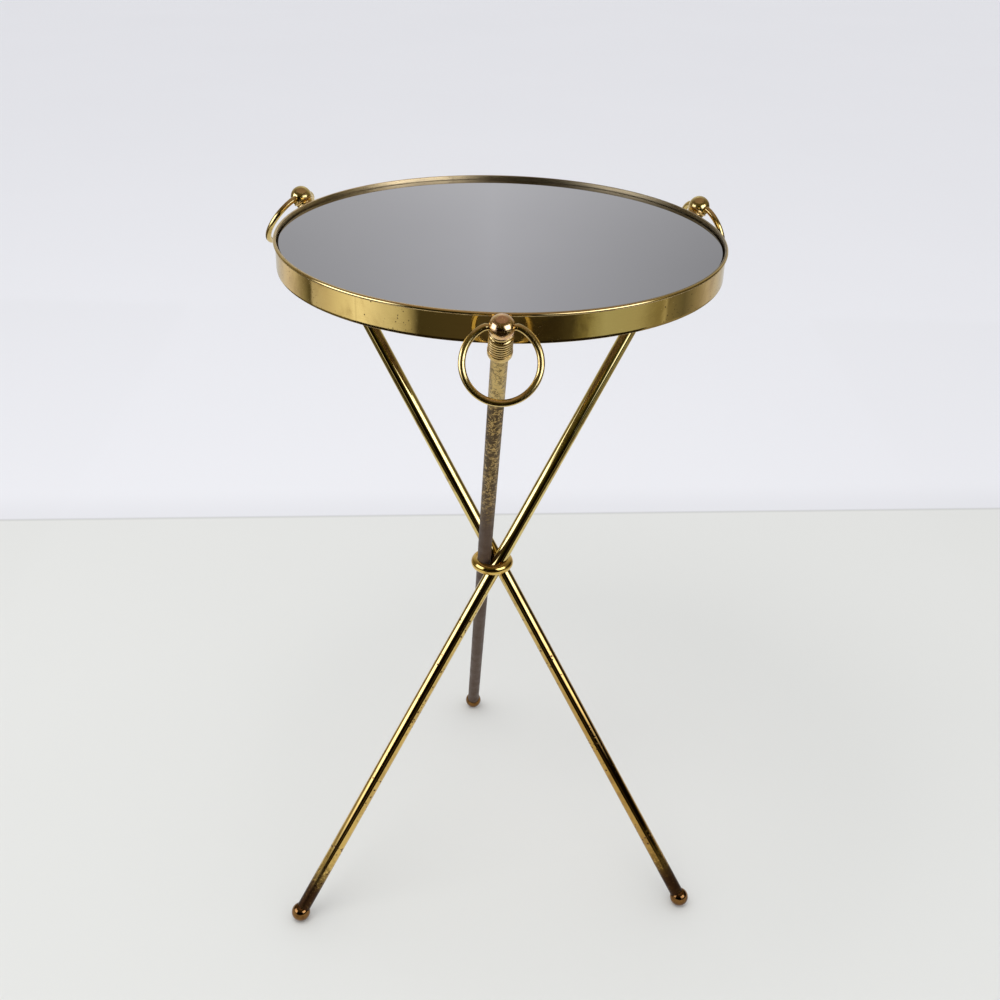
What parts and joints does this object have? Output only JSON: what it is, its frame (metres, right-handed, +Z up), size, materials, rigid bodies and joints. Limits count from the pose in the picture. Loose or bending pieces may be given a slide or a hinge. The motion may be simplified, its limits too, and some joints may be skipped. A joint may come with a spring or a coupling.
{
  "type": "tripod side table",
  "caption": "Small round brass side table: crossed tubular legs through a ring, ball finials with swinging rings, and a mirror top in a raised rim.",
  "frame": {"origin": "on the table's vertical axis of threefold symmetry, at floor level", "axes": "+Z is up. -Y points to the finial of leg 1, which is the front of the table; +X is to the right seen from the front"},
  "size_m": [0.3928, 0.4285, 0.6286],
  "materials": {
    "rim_brass": "polished, finely pitted",
    "ledge_brass": "dull, unpolished",
    "board": "brown hardboard",
    "mirror": "smoked grey mirror glass",
    "crossing_brass": "polished, warm",
    "aged_leg_brass": "dark bronze patina, flecked",
    "leg_brass": "polished, speckled with oxidation",
    "collar_brass": "satin, lightly tarnished in the grooves",
    "finial_brass": "polished with a pinkish tarnish",
    "handle_brass": "polished, tarnished inside the ring",
    "foot_brass": "polished over a dark patina",
    "screw_steel": "zinc plated",
    "stud_steel": "plain",
    "plug_brass": "turned"
  },
  "bodies": {
    "frame": {"rim_band": "rim_brass", "ledge_ring": "ledge_brass", "backing_board": "board", "crossing_ring": "crossing_brass", "leg_tube_1": "aged_leg_brass", "leg_tube_2": "leg_brass", "leg_tube_3": "leg_brass", "collar_1": "collar_brass", "collar_2": "collar_brass", "collar_3": "collar_brass", "finial_ball_1": "finial_brass", "finial_ball_2": "finial_brass", "finial_ball_3": "finial_brass", "ball_foot_1": "foot_brass", "ball_foot_2": "foot_brass", "ball_foot_3": "foot_brass", "rim_screws": "screw_steel", "rim_washers": "screw_steel", "finial_studs": "stud_steel", "foot_studs": "stud_steel", "tube_plugs": "plug_brass"},
    "mirror_top": {"mirror_top": "mirror"},
    "ring_handle_1": {"ring_handle_1": "handle_brass"},
    "ring_handle_2": {"ring_handle_2": "handle_brass"},
    "ring_handle_3": {"ring_handle_3": "handle_brass"}
  },
  "joints": [
    {"name": "mirror_lift", "type": "slide", "parent": "frame", "child": "mirror_top", "axis": [0, 0, 1], "range_m": [0, 0.05]},
    {"name": "ring_swing_1", "type": "hinge", "parent": "frame", "child": "ring_handle_1", "pos_m": [0, -0.194, 0.6198], "axis": [-0.9993, -0.0382, 0], "range_deg": [-44, 233]},
    {"name": "ring_swing_2", "type": "hinge", "parent": "frame", "child": "ring_handle_2", "pos_m": [0.16801, 0.097, 0.6198], "axis": [0.5327, -0.8463, 0], "range_deg": [-38, 239]},
    {"name": "ring_swing_3", "type": "hinge", "parent": "frame", "child": "ring_handle_3", "pos_m": [-0.16801, 0.097, 0.6198], "axis": [0.4666, 0.8845, 0], "range_deg": [-55, 222]}
  ]
}
